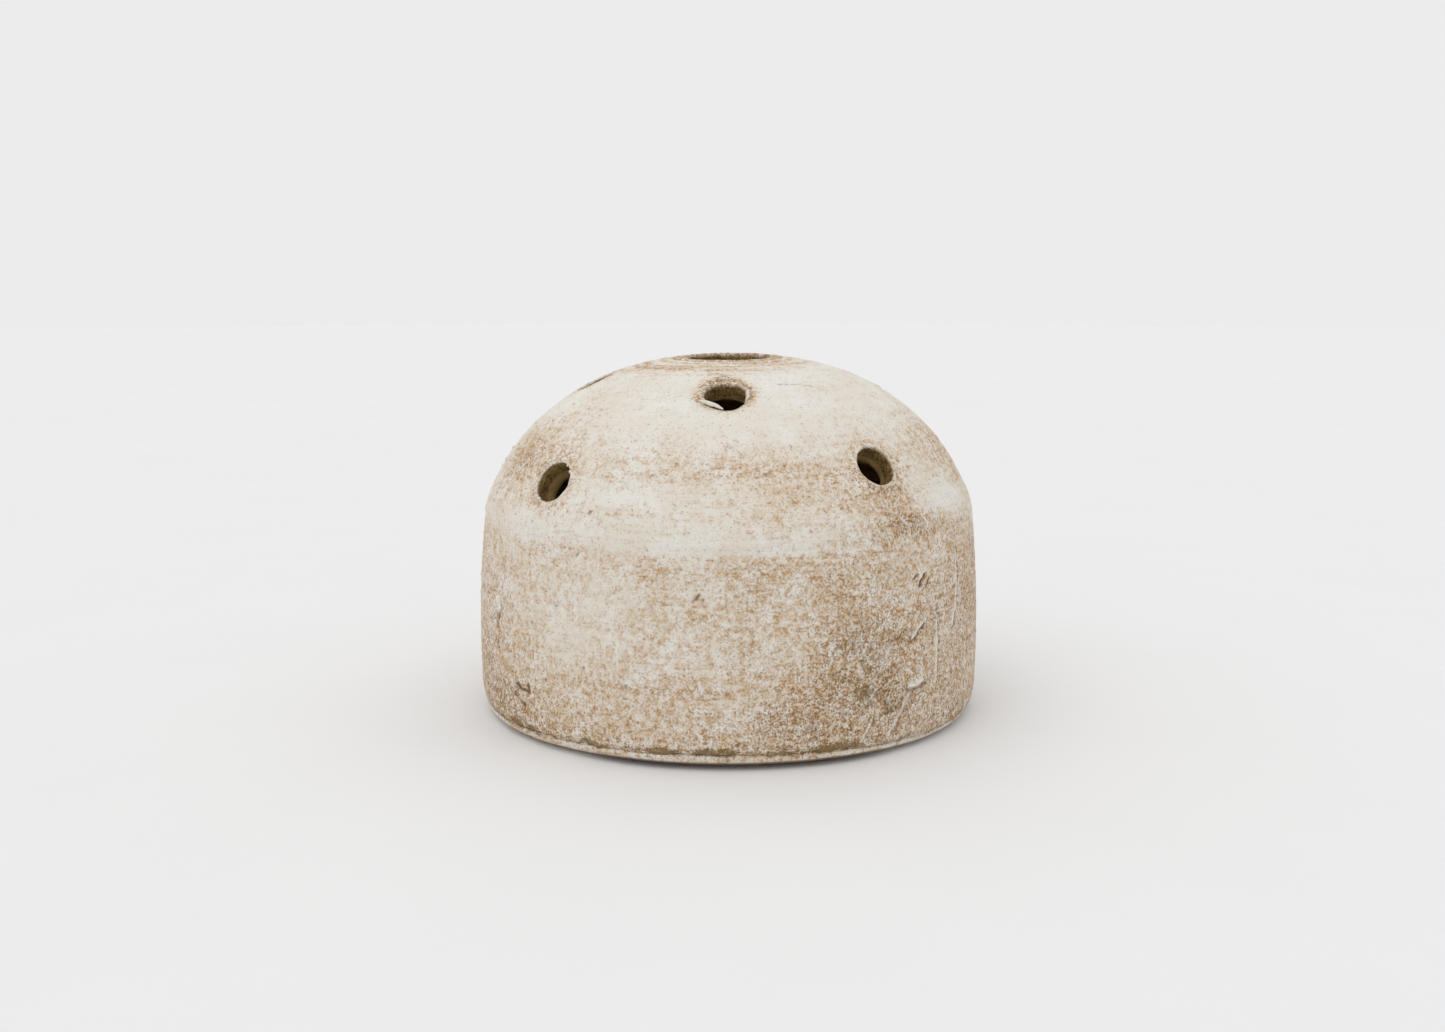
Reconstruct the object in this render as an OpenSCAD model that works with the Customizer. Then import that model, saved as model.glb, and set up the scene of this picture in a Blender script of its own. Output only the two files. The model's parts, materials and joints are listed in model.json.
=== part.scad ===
// Ceramic flower frog: a closed, domed pot whose top is pierced with stem holes.
// Built from a floor slab, a wall ring and a domed top, luted together with slip.
// +Z is up. The origin is the centre of the resting face.

/* [Overall] */
// Height from the resting face to the rim of the top opening
height = 89.2; // [80:0.1:100]
// Outer diameter at the widest part of the wall
belly_d = 127.9; // [118:0.1:140]
// Height above the resting face at which the wall is widest
belly_z = 16; // [12:1:24]

/* [Floor] */
// Diameter of the flat face that the pot rests on
resting_d = 113; // [100:1:116]
// Thickness of the floor slab
floor_t = 4; // [3.5:0.1:6]

/* [Wall] */
// Inside diameter of the wall
wall_inner_d = 115; // [108:0.5:116]
// How much smaller than the belly the wall's radius is at the shoulder
wall_taper = 2.05; // [1:0.05:3]
// Leg of the corner coil that seals the wall to the floor
coil_leg = 8; // [5:0.5:12]

/* [Dome] */
// Height of the joint between the wall and the dome
shoulder_z = 51; // [48:0.5:56]
// Thickness of the dome
dome_t = 4.5; // [3.5:0.1:6]
// Power that keeps the dome's side full
side_power = 2.3; // [2:0.1:3]
// Power that flattens the dome's top
top_power = 1.5; // [1.3:0.1:2]

/* [Joints] */
// Thickness of the slip under the wall
floor_slip_t = 0.5; // [0.3:0.1:1]
// Thickness of the slip between wall and dome
shoulder_slip_t = 0.8; // [0.4:0.1:1.2]
// How far the shoulder slip stands proud of the wall
shoulder_slip_proud = 0.3; // [0:0.1:0.6]
// Depth of the groove that the floor joint leaves outside
groove_depth = 0.9; // [0.4:0.1:1.5]

/* [Holes] */
// Diameter of the opening in the middle of the top
top_hole_d = 21; // [16:0.5:26]
// Diameter of a stem hole
stem_hole_d = 9.5; // [7:0.5:11]

/* [Hidden] */

// Azimuth from the front (-Y) towards +X in degrees, and height of the mouth in millimetres
UPPER_STEM_HOLES = [[-1, 82], [97, 82.5], [180, 82], [-84, 83]];
LOWER_STEM_HOLES = [[38, 66.5], [135, 64], [-135, 64], [-45, 62.5]];

$fn = 128;
WALL_STEPS = 12;
DOME_STEPS = 28;
CUT_LENGTH = 30;

belly_r = belly_d / 2;
wall_inner_r = wall_inner_d / 2;
wall_bottom_z = floor_t + floor_slip_t;
wall_top_z = shoulder_z - shoulder_slip_t / 2;
dome_bottom_z = shoulder_z + shoulder_slip_t / 2;
top_hole_r = top_hole_d / 2;

// Bevel round the foot, and the slab's edge above it
foot_bevel_r = 62.5;
foot_bevel_z = 1.5;
slab_edge_r = 63.2;
slab_edge_z = 2.8;

// The dome's radius where it starts, on the wall's own curve
dome_outer_r = wall_r(shoulder_z);
dome_inner_r = dome_outer_r - dome_t;

// Angle on the dome's curve at which its radius is that of the top opening
rim_phi = rim_angle(dome_outer_r);
inner_rim_phi = rim_angle(dome_inner_r);

// Rise of the dome's curve that puts its rim at the full height
dome_outer_rise = (height - dome_bottom_z) / pow(sin(rim_phi), 2 / top_power);
dome_inner_rise = dome_outer_rise - dome_t;

// Outer radius of the wall: a shallow belly that draws in towards the shoulder
function wall_r(z) = belly_r - wall_taper * pow((z - belly_z) / (shoulder_z - belly_z), 2);

function rim_angle(radius) = acos(pow(top_hole_r / radius, side_power / 2));

// Point [r, z] on a dome curve, phi from 0 at the shoulder to 90 at the apex
function dome_point(phi, radius, rise) = [
    radius * pow(cos(phi), 2 / side_power),
    dome_bottom_z + rise * pow(sin(phi), 2 / top_power)
];

function dome_curve(phi_end, radius, rise) =
    [for (i = [0:DOME_STEPS]) dome_point(phi_end * i / DOME_STEPS, radius, rise)];

function outer_point(phi) = dome_point(phi, dome_outer_r, dome_outer_rise);

// Angle on the outer dome curve at a height
function phi_at(z) = asin(pow((z - dome_bottom_z) / dome_outer_rise, top_power / 2));

// Angle between the vertical and the dome's outward normal
function normal_tilt(phi) =
    let (run = outer_point(phi + 0.5) - outer_point(phi - 0.5))
    atan2(run[1], -run[0]);

function reversed(list) = [for (i = [len(list) - 1:-1:0]) list[i]];

// Ring of joining slip between two radii
module slip_ring(inner_r, outer_r, z, thickness) {
    rotate_extrude()
        translate([inner_r, z])
            square([outer_r - inner_r, thickness]);
}

// Straight hole through the dome, square to its surface
module stem_hole(azimuth, z) {
    phi = phi_at(z);
    mouth = outer_point(phi);
    rotate([0, 0, azimuth])
        translate([0, -mouth[0], mouth[1]])
            rotate([normal_tilt(phi), 0, 0])
                cylinder(d = stem_hole_d, h = CUT_LENGTH, center = true);
}

module floor_slab() {
    color("#c9b9a2")
        rotate_extrude()
            polygon([
                [0, 0],
                [resting_d / 2, 0],
                [foot_bevel_r, foot_bevel_z],
                [slab_edge_r, slab_edge_z],
                [belly_r - groove_depth, floor_t],
                [0, floor_t]
            ]);
}

// Coil of soft clay pressed into the inside corner, with a hollowed face
module corner_coil() {
    color("#b59d7c")
        rotate_extrude()
            translate([wall_inner_r - coil_leg, floor_t])
                difference() {
                    square(coil_leg);
                    translate([0, coil_leg])
                        circle(r = coil_leg);
                }
}

module floor_joint_slip() {
    color("#8c7550")
        slip_ring(wall_inner_r, belly_r - groove_depth - 0.3, floor_t, floor_slip_t);
}

module wall_ring() {
    chamfer_top_z = wall_bottom_z + groove_depth;
    outer = [
        for (i = [0:WALL_STEPS])
            let (z = chamfer_top_z + (wall_top_z - chamfer_top_z) * i / WALL_STEPS)
            [wall_r(z), z]
    ];
    inner = [[wall_inner_r, wall_top_z], [wall_inner_r, wall_bottom_z]];
    groove_edge = [[belly_r - groove_depth, wall_bottom_z]];
    color("#d8cab4")
        rotate_extrude()
            polygon(concat(groove_edge, outer, inner));
}

module shoulder_joint_slip() {
    color("#e2dccf")
        slip_ring(
            dome_inner_r,
            dome_outer_r + shoulder_slip_proud,
            wall_top_z,
            shoulder_slip_t
        );
}

module dome() {
    outer = dome_curve(rim_phi, dome_outer_r, dome_outer_rise);
    inner = dome_curve(inner_rim_phi, dome_inner_r, dome_inner_rise);
    color("#e4dece")
        difference() {
            rotate_extrude()
                polygon(concat(outer, reversed(inner)));
            for (hole = concat(UPPER_STEM_HOLES, LOWER_STEM_HOLES))
                stem_hole(hole[0], hole[1]);
        }
}

floor_slab();
corner_coil();
floor_joint_slip();
wall_ring();
shoulder_joint_slip();
dome();
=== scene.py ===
"""Looks of the ceramic flower frog, hand-made stoneware under a rubbed cream slip.

Each clay part is its own mesh, shaped from the CAD sizes. The dome is solved from a distance
field, which gives its punched holes worn mouths. The other parts are swept round the axis.
Shapes are worked out in millimetres and handed to Blender in metres.
"""

import json
import math
from itertools import product

import bpy
import numpy as np
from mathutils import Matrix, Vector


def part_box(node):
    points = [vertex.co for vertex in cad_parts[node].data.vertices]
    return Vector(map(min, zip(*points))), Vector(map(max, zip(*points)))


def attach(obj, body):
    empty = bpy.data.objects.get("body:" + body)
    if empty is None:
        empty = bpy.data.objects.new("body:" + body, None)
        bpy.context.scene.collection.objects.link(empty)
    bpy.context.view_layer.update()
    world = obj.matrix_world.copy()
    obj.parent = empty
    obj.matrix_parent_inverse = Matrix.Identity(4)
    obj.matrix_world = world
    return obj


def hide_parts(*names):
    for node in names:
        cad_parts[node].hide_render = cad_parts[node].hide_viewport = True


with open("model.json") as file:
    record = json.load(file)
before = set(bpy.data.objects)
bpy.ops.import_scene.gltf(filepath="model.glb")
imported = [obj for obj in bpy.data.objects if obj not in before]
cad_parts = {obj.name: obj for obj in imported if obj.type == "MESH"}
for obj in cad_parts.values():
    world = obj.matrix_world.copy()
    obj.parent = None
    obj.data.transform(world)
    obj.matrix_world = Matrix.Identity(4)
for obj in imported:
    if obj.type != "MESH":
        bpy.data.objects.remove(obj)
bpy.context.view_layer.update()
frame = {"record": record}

import openvdb
from mathutils import Vector

MM = 0.001

# === Sizes, in millimetres, from the frame ===


def node_size(node):
    """Outer radius, lowest z and highest z of a CAD node, in millimetres."""
    low, high = (np.array(corner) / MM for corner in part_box(node))
    return (high[0] - low[0]) / 2, low[2], high[2]


MOUNTS = {mount["name"]: mount for mount in frame["record"]["mounts"]}

DOME_R, DOME_BOTTOM_Z, TOP_Z = node_size("dome")
BELLY_R, WALL_BOTTOM_Z, WALL_TOP_Z = node_size("wall_ring")
WALL_INNER_R, SLAB_TOP_Z, COIL_TOP_Z = node_size("corner_coil")
FLOOR_SLIP_R, FLOOR_SLIP_BOTTOM_Z, FLOOR_SLIP_TOP_Z = node_size("floor_joint_slip")
SHOULDER_Z = (WALL_TOP_Z + DOME_BOTTOM_Z) / 2
TOP_HOLE_R = MOUNTS["top_opening"]["dims"]["r_mm"]
DOME_THICKNESS = MOUNTS["top_opening"]["dims"]["length_mm"]

# Shape of the curves, as the CAD model has them
SIDE_POWER = 2.3
TOP_POWER = 1.5
BELLY_Z = 16.0
WALL_TAPER = BELLY_R - DOME_R
FOOT_R = 56.5

# The pot's outer radius over its lowest few millimetres, floor slab and wall alike
FOOT_PROFILE_Z = [0.0, 0.45, 0.95, 1.5, 2.1, 2.8, 3.6, 4.4, 5.4, 6.6]
FOOT_PROFILE_R = [56.5, 58.7, 60.9, 62.4, 62.95, 63.2, 63.38, 63.5, 63.62, 63.75]

# The hand-made surface stays this far inside the CAD surface, so its bumps fit the CAD box
SKIN_INSET = 0.22

# Rise of the dome's curve that puts its rim at the full height
RIM_SHARE = (1 - (TOP_HOLE_R / DOME_R) ** SIDE_POWER) ** (1 / TOP_POWER)
DOME_RISE = (TOP_Z - DOME_BOTTOM_Z) / RIM_SHARE

# How far the crown has sunk at the front, and how far the dome leans to the right
CROWN_SAG = 1.0
DOME_LEAN = 0.25

# The dome's side is pulled in a little: height, depth and half-height
WAIST_Z = 61.0
WAIST_DEPTH = 0.45
WAIST_REACH = 7.0

# Low ridges round the crown: radius of the first rise, and their spacing
CROWN_RING_R = 10.6
CROWN_RING_STEP = 3.4

# The brown zone round the top opening: its centre, and the radii between which it fades
CROWN_WASH_CENTRE = (-3, -3, 0)
CROWN_WASH_R = (28, 19)

# Height of the seam between slab and wall, which wanders round the foot: azimuth and height
SEAM_AZIMUTHS = [-180, -120, -62, -35, 0, 22, 50, 95, 140, 180]
SEAM_HEIGHTS = [3.8, 3.2, 2.9, 3.4, 3.7, 3.3, 2.4, 3.0, 4.0, 3.8]

# === Maths helpers, on arrays of points in millimetres ===

LATTICE_PERIOD = 32


def smoothstep(low, high, value):
    """0 below low, 1 above high, and smooth between. low may be the larger."""
    share = np.clip((value - low) / (high - low), 0, 1)
    return share * share * (3 - 2 * share)


def bell(value, width):
    """1 at 0, fading softly to both sides."""
    return np.exp(-((value / width) ** 2))


def smooth_max(a, b, blend):
    """The larger of two distances, rounded over a width of blend."""
    overlap = np.maximum(blend - np.abs(a - b), 0) / blend
    return np.maximum(a, b) + overlap * overlap * blend / 4


def lattice_noise(points, cell, seed):
    """Smooth noise from -1 to 1. cell is the feature size: one number, or one for each axis."""
    lattice = np.random.default_rng(seed).uniform(-1, 1, (LATTICE_PERIOD,) * 3)
    scaled = points / np.asarray(cell, float)
    low = np.floor(scaled).astype(int)
    share = scaled - low
    share = share * share * (3 - 2 * share)
    total = np.zeros(len(points))
    for corner in product((0, 1), repeat=3):
        weight = np.prod(np.where(corner, share, 1 - share), axis=1)
        place = (low + corner) % LATTICE_PERIOD
        total += weight * lattice[place[:, 0], place[:, 1], place[:, 2]]
    return total


def fractal_noise(points, cell, seed, octaves):
    """Noise with finer and fainter layers on top, still about -1 to 1."""
    total = np.zeros(len(points))
    for octave in range(octaves):
        total += lattice_noise(points, np.divide(cell, 2**octave), seed + octave) / 2**octave
    return total


def within(points, centre, reach):
    """Indices of the points that are closer to a centre than a reach."""
    away = points - centre
    return np.flatnonzero(np.einsum("ij,ij->i", away, away) < reach * reach)


def azimuth_deg(points):
    """Degrees round the axis from the front (-Y) towards +X."""
    return np.degrees(np.arctan2(points[:, 0], -points[:, 1]))


def axis_distance(points):
    return np.hypot(points[:, 0], points[:, 1])


def at_azimuth(azimuth, radius, z):
    """Point on the pot at an azimuth in degrees."""
    angle = math.radians(azimuth)
    return np.array([radius * math.sin(angle), -radius * math.cos(angle), z])


def wall_r(z):
    """Outer radius of the wall: a shallow belly drawn in towards the shoulder."""
    return BELLY_R - WALL_TAPER * ((z - BELLY_Z) / (SHOULDER_Z - BELLY_Z)) ** 2


def dome_r(z):
    """Outer radius of the dome at a height."""
    share = np.clip((z - DOME_BOTTOM_Z) / DOME_RISE, 0, 1)
    return DOME_R * (1 - share**TOP_POWER) ** (1 / SIDE_POWER)


def outer_r(z):
    """Outer radius of the whole pot above the foot."""
    return np.where(z > DOME_BOTTOM_Z, dome_r(z), wall_r(z))


# === The hand-made surface ===

# How much brown shows at each height, before the patches. The wall's higher values are partly painted
# shade, darker than the dome that faces the top light
WASH_HEIGHTS = [0, 4, 9, 20, 34, 48, 49.5, 52.5, 54, 60, 66, 73, 78, 86]
WASH_AND_SHADE_BY_HEIGHT = [0.5, 0.78, 0.76, 0.66, 0.64, 0.58, 0.3, 0.26, 0.32, 0.34, 0.4, 0.22, 0.12, 0.14]

# Soft patches of brown wash: azimuth, height, half-width in degrees, half-height, strength
WASH_PATCHES = [
    (-60, 68, 16, 8, 0.4), (-68, 60, 12, 7, 0.24), (-42, 72, 9, 4, 0.18), (-8, 67, 30, 5, 0.22),
    (20, 62, 16, 6, 0.3), (38, 58, 9, 6, 0.46), (66, 72, 18, 5, 0.3), (-28, 57, 16, 1.2, 0.22),
    (60, 57, 12, 6, -0.26), (68, 66, 14, 8, 0.12), (76, 68, 10, 12, 0.2), (-7, 83, 5, 3, 0.3),
    (-26, 60, 14, 3, -0.16), (-32, 34, 17, 13, -0.24), (-15, 44, 4, 5, 0.2), (4, 42, 5, 6, 0.2),
    (24, 43, 14, 5, 0.2), (-8, 51, 28, 1.8, -0.12), (46, 51.5, 24, 3.2, 0.6), (42, 54, 4, 2, 0.4),
    (58, 26, 14, 22, 0.18), (78, 30, 14, 26, 0.18), (29, 24, 12, 13, 0.5), (24, 9, 16, 5, 0.2),
    (16, 12, 10, 8, 0.24), (36, 12, 10, 8, 0.28), (50, 33, 9, 9, 0.12), (-68, 20, 10, 12, 0.28),
    (-55, 8, 14, 6, 0.22), (-18, 18.6, 20, 0.8, 0.22), (2, 27, 5, 6, 0.14), (0, 34, 16, 12, 0.08),
    (140, 30, 40, 12, 0.34), (-130, 20, 35, 12, 0.3), (170, 66, 30, 6, 0.3), (-120, 60, 22, 6, -0.2),
    (110, 44, 20, 8, -0.16), (-160, 40, 24, 8, -0.14),
]

# Where the slip was rubbed smooth, so that its flecks are fainter
RUBBED_PATCHES = [
    (-22, 32, 34, 17, 1), (-5, 51, 40, 3, 0.6), (8, 39, 18, 9, 0.7), (150, 30, 50, 16, 0.8),
    (-130, 40, 30, 10, 0.6),
]

# Olive-grey stains: azimuth, height, half-width in degrees, half-height, strength
STAINS = [
    (-3, 84.8, 7, 0.9, 0.9), (-49, 4.5, 5, 1, 0.9), (-36, 4.7, 4, 0.8, 0.7), (-23.5, 4.8, 3.2, 1, 0.9),
    (-10, 4.5, 6, 1, 0.9), (-1, 4.6, 4, 1, 0.8), (23, 4.6, 4.2, 1.3, 1), (36, 11.4, 2.8, 1.9, 1.15),
    (30, 25, 9, 9, 0.5), (28, 16, 7, 5, 0.6), (40, 28, 3, 3, 0.5), (-67, 17, 4, 4, 0.45),
    (-64, 7, 8, 2, 0.5), (61, 6.5, 9, 1.8, 0.6), (95, 5.4, 6, 1.1, 0.8), (128, 5.3, 8, 1.2, 0.7),
    (171, 5.4, 7, 1, 0.9), (-150, 5.3, 8, 1.2, 0.8), (-112, 5.4, 5, 1, 0.8), (-168, 22, 5, 4, 0.4),
    (118, 14, 4, 3, 0.4),
]

# Scratches, pale along a thrown-up ridge, with painted shadow in the groove beside it: half-width,
# depth, then points (azimuth, height)
SCRATCHES = [
    (0.44, 0.34, (59.3, 44.5), (58.8, 36), (57.8, 31)), (0.66, 0.4, (57.8, 31.6), (56.2, 27.6)),
    (0.26, 0.2, (60.8, 39), (60.2, 34)), (0.42, 0.4, (49.5, 31.5), (49.9, 25), (49.6, 15)),
    (0.2, 0.16, (57, 31.6), (53.5, 31.2)), (0.2, 0.16, (50.4, 30.8), (46.6, 30.5)),
    (0.56, 0.36, (44.6, 29.9), (43, 28.8), (41.6, 27.2)),
    (0.66, 0.16, (41.4, 14.6), (39, 11.4), (36.2, 6.8)),
    (0.7, 0.26, (44.8, 16.4), (42.6, 15.6), (40.8, 15.8)),
    (0.3, 0.18, (30.8, 9.4), (29.4, 6.8), (28.4, 4.8)), (0.26, 0.16, (50.8, 10.4), (50.2, 5.4)),
    (0.18, 0.14, (32.6, 45), (31.6, 41), (31.2, 38.6)), (0.18, 0.14, (34, 44.6), (35.2, 41.6)),
    (0.3, 0.26, (22, 83.5), (28, 83.3), (35, 82.9)),
    (0.36, 0.24, (5.2, 83.9), (7.4, 82.9), (7.3, 81.6), (5.5, 80.7)),
    (0.18, 0.14, (-47, 57.2), (-42, 56.4)), (0.14, 0.1, (-38, 19.6), (-32, 19.2), (-27, 19)),
    (0.2, 0.18, (24, 30.4), (25.6, 27.6)), (0.26, 0.26, (150, 38), (152, 30), (151, 22)),
    (0.28, 0.24, (-140, 30), (-136, 26), (-134, 20)), (0.24, 0.2, (104, 20), (112, 22)),
    (0.22, 0.2, (-175, 74), (-165, 74.4)),
]

# Fields of short, fine strokes: azimuth, height, half-width in degrees, half-height, count
STROKE_FIELDS = [
    (29, 24, 10, 10, 70), (34, 13, 9, 5, 24), (41, 52, 11, 2.6, 26), (44, 34, 8, 7, 20),
    (16, 9, 10, 4, 16), (-65, 24, 5, 12, 22), (120, 18, 14, 8, 30), (-150, 28, 16, 10, 30),
]

STROKE_SEED = 11


def short_strokes():
    """The fine strokes of the fields, as more scratches."""
    random = np.random.default_rng(STROKE_SEED)
    strokes = []
    for azimuth, z, field_width, field_height, count in STROKE_FIELDS:
        for _ in range(count):
            start = azimuth + 0.6 * field_width * random.normal()
            bottom = z + 0.6 * field_height * random.normal()
            length = random.uniform(0.7, 2.2)
            lean = random.uniform(-1.1, 1.1)
            end = start + math.degrees(length * math.sin(lean) / BELLY_R)
            top = bottom + length * math.cos(lean)
            half_width = random.uniform(0.13, 0.22)
            strokes.append((half_width, random.uniform(0.08, 0.20), (start, bottom), (end, top)))
    return strokes


# Gouges, dark inside with a torn pale edge: half-width, depth, then points (azimuth, height)
GOUGES = [
    (0.46, 0.6, (46.2, 41.2), (44.8, 39.6), (44, 38.6)), (0.32, 0.4, (43.4, 41.2), (42.4, 40.4)),
    (0.28, 0.35, (47.6, 40), (46.6, 38.4)), (0.46, 0.34, (-59.6, 29.3), (-60, 28)),
    (0.4, 0.32, (-60.6, 26.9), (-60.8, 25.6)), (0.42, 0.4, (-62, 32.4), (-61.2, 31.8)),
    (0.8, 0.36, (-51.2, 13.7), (-50.2, 13.2)),
    (0.46, 0.34, (-50, 13.1), (-48.4, 13.1), (-46.9, 12.8), (-47.3, 14.7)),
    (0.4, 0.4, (-50, 10), (-48.8, 9.4)), (0.36, 0.35, (-52.6, 11.4), (-52, 10.8)),
    (0.36, 0.35, (-60.6, 22.4), (-60.2, 20.6)), (0.36, 0.3, (-5.9, 40), (-6.5, 39.2)),
    (0.3, 0.2, (-6.9, 38.9), (-7.1, 38.6)), (0.34, 0.25, (-33, 47.4), (-33.2, 47)),
    (0.15, 0.12, (-38.8, 51.9), (-35, 52.1)), (0.24, 0.2, (-30.8, 21.9), (-30.9, 21.5)),
    (0.26, 0.25, (48, 48), (48.1, 47.2)), (0.4, 0.3, (2, 6.6), (1.8, 6.2)),
    (0.36, 0.25, (-4.2, 5.6), (-4.4, 5.3)), (0.26, 0.3, (39, 13.6), (38.4, 11)),
    (0.16, 0.16, (-58.4, 43), (-57.8, 40)), (0.46, 0.5, (128, 34.6), (127.4, 33.4)),
    (0.4, 0.45, (-118, 42.4), (-117, 41.6)), (0.46, 0.5, (166, 16.6), (167, 15.4)),
    (0.36, 0.4, (-96, 12.4), (-95.2, 11.6)), (0.36, 0.4, (150, 62.4), (151, 61.6)),
]

# Crumbs of dried slip stuck to the surface: azimuth, height, size
CRUMBS = [
    (45.9, 41.9, 0.8), (43.4, 41.3, 0.46), (44.9, 38.6, 0.55), (-60.2, 32, 1.5), (-59.6, 30.7, 1.6),
    (-60.6, 30, 0.8), (-61.8, 26.6, 0.6), (-45.6, 12.3, 0.8), (-46.4, 11.8, 0.6), (-47.2, 11.4, 0.5),
    (-49.8, 59.4, 0.42), (-48.7, 58.5, 0.5), (-47.4, 58.1, 0.4), (-42.4, 65.8, 0.38),
    (-40.6, 64.6, 0.34), (-50.2, 9.4, 0.5), (-51.2, 8.6, 0.4), (43, 16, 0.9), (44.3, 15.4, 0.45),
    (46.8, 30.4, 0.42), (49.6, 30.6, 0.46), (42.2, 27.8, 0.42), (46.2, 52.6, 0.5), (43.8, 53.8, 0.4),
    (-9.6, 82.9, 0.8), (-9, 82.2, 0.5), (1.6, 72.6, 0.46), (0.4, 71.2, 0.4),
]

ALL_SCRATCHES = SCRATCHES + short_strokes()


def patch_sum(points, patches):
    """Sum of soft oval patches over the surface."""
    total = np.zeros(len(points))
    for azimuth, z, half_width, half_height, strength in patches:
        turn = (azimuth_deg(points) - azimuth + 180) % 360 - 180
        up = points[:, 2] - z
        total += strength * np.exp(-((turn / half_width) ** 2) - (up / half_height) ** 2)
    return total


def mark_point(azimuth, z):
    """Place of a mark on the pot's surface."""
    return at_azimuth(azimuth, float(outer_r(z)), z)


def outward_at(place):
    """Unit normal of the pot's smooth form at a place on it."""
    slope = float(outer_r(place[2] + 0.5) - outer_r(place[2] - 0.5))
    normal = place * (1, 1, 0) / math.hypot(place[0], place[1]) - (0, 0, slope)
    return normal / np.linalg.norm(normal)


def distance_to_line(points, line):
    """Distance along the surface to a polyline, and how far right of it or below it."""
    nearest = np.full(len(points), np.inf)
    beside = np.zeros(len(points))
    for start, end in zip(line[:-1], line[1:]):
        run = end - start
        outward = outward_at((start + end) / 2)
        across = np.cross(outward, run)
        across /= np.linalg.norm(across)
        if across[2] > 0.7:
            across = -across
        share = np.clip((points - start) @ run / (run @ run), 0, 1)
        offset = points - start - share[:, None] * run
        offset -= (offset @ outward)[:, None] * outward
        distance = np.linalg.norm(offset, axis=1)
        closer = distance < nearest
        nearest = np.where(closer, distance, nearest)
        beside = np.where(closer, offset @ across, beside)
    return nearest, beside


def marks_near(points, marks):
    """For each mark: its depth, the points close to it, and how they lie to it."""
    ragged = 1 + 0.4 * lattice_noise(points, 0.9, 41) + 0.3 * lattice_noise(points, 0.45, 42)
    order = np.argsort(points[:, 2])
    heights = points[order, 2]
    for half_width, deep, *stations in marks:
        line = [mark_point(azimuth, z) for azimuth, z in stations]
        middle = (line[0] + line[-1]) / 2
        reach = np.linalg.norm(line[0] - line[-1]) / 2 + 5
        first, last = np.searchsorted(heights, [middle[2] - reach, middle[2] + reach])
        level = order[first:last]
        near = level[within(points[level], middle, reach)]
        away, beside = distance_to_line(points[near], line)
        yield deep, near, away / (half_width * ragged[near]), beside / half_width


def mark_layers(points, marks, profile):
    """Relief, pale and dark share of marks. profile gives the three across one mark."""
    rise, pale, dark = np.zeros((3, len(points)))
    for deep, near, away, beside in marks_near(points, marks):
        lift, light, shade = profile(deep, away, beside)
        rise[near] += lift
        pale[near] = np.maximum(pale[near], light)
        dark[near] = np.maximum(dark[near], shade)
    return rise, pale, dark


def scratch_profile(deep, away, beside):
    """A thrown-up pale ridge beside a fine groove, which is painted dark as the ridge's shadow."""
    ridge = np.exp(-(away**2)) * smoothstep(1.1, 0.3, beside)
    gap = np.exp(-((away - 1.5) ** 2) / 0.5) * smoothstep(0.3, 0.9, beside)
    return deep * (0.6 * ridge - gap), min(1, 4 * deep) * ridge, min(0.9, 2.6 * deep) * gap


def gouge_profile(deep, away, beside):
    """A dark core, torn up on its left or upper side if the gouge is deep."""
    core = np.exp(-(away**3))
    torn = np.exp(-((away - 1.7) ** 2) / 0.4) * smoothstep(0.4, -0.6, beside)
    tear = smoothstep(0.35, 0.6, deep)
    return deep * (0.5 * tear * torn - 0.7 * core), tear * torn, min(1, 3 * deep) * core


def marks_at(points):
    """Relief, pale and dark share of all scratches and gouges. The scratches' dark share is painted
    shadow.
    """
    rise, thrown, scratch_shadow = mark_layers(points, ALL_SCRATCHES, scratch_profile)
    drop, torn, dark_share = mark_layers(points, GOUGES, gouge_profile)
    return rise + drop, thrown + torn, np.maximum(scratch_shadow, dark_share)


def crown_rings(points):
    """Waves of the low ridges that the turning wheel left round the crown, -1 to 1."""
    radius = axis_distance(points) + 0.6 * lattice_noise(points, 14, 51)
    return np.sin((radius - CROWN_RING_R) * 2 * math.pi / CROWN_RING_STEP)


def throwing_rings(points):
    """Low ridges left round the crown by the turning wheel, and fine turned lines below."""
    radius = axis_distance(points)
    crown = smoothstep(32, 14, radius)
    ridges = 0.20 * crown_rings(points) + 0.08 * np.sin(radius * 2 * math.pi / 1.2)
    strength = 0.6 + 0.4 * lattice_noise(points, 9, 52)
    lines = lattice_noise(points, (26, 26, 0.9), 53) + 0.8 * lattice_noise(points, (40, 40, 2.3), 54)
    side = smoothstep(30, 45, radius)
    return crown * ridges * strength + 0.055 * side * lines


def relief(points):
    """Height of the hand-made outer surface over its smooth form."""
    waver = 0.12 * fractal_noise(points, 26, 60, 2)
    waver -= WAIST_DEPTH * bell(points[:, 2] - WAIST_Z, WAIST_REACH)
    pitted = 0.05 * fractal_noise(points, 1.5, 64, 2)
    return waver + pitted + throwing_rings(points) + marks_at(points)[0]


def seam_height(points):
    """Height of the seam between slab and wall at each point's azimuth."""
    rough = 0.16 * lattice_noise(points * (1, 1, 0), 2.2, 45)
    return np.interp(azimuth_deg(points), SEAM_AZIMUTHS, SEAM_HEIGHTS) + rough


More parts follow.
